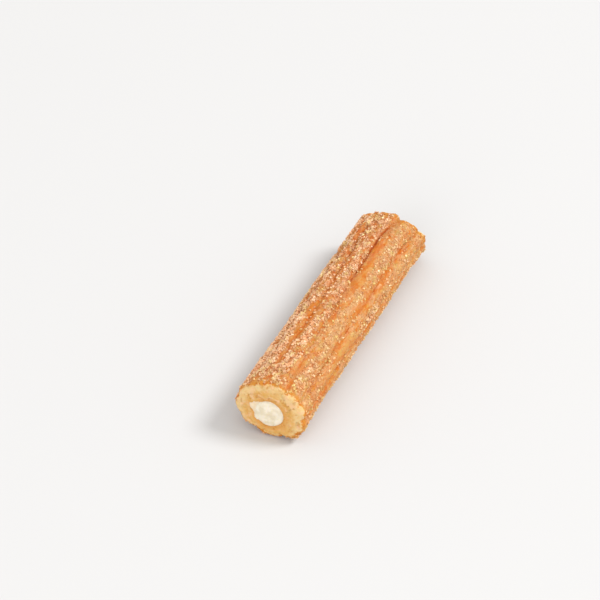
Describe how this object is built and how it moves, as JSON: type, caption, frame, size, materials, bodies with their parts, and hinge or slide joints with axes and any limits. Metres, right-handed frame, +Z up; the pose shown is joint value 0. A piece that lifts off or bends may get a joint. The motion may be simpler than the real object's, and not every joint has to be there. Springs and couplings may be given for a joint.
{
  "type": "cream-filled churro",
  "caption": "Straight ridged stick of fried dough rolled in cinnamon sugar, cut across at both ends, with a cream filling that runs right through and shows at the cuts.",
  "frame": {"origin": "under the middle of the churro's box, on the surface that it lies on", "axes": "+Z up, +Y along the churro from its front cut end to its rear cut end, +X to the right seen from the front"},
  "size_m": [0.0258, 0.1116, 0.0219],
  "materials": {
    "fried_dough": "golden fried crust with cinnamon sugar, pale soft dough at the cuts",
    "cream": "soft ivory cream, slightly shiny"
  },
  "bodies": {
    "root": {"churro_dough": "fried_dough", "cream_filling": "cream"}
  },
  "joints": []
}
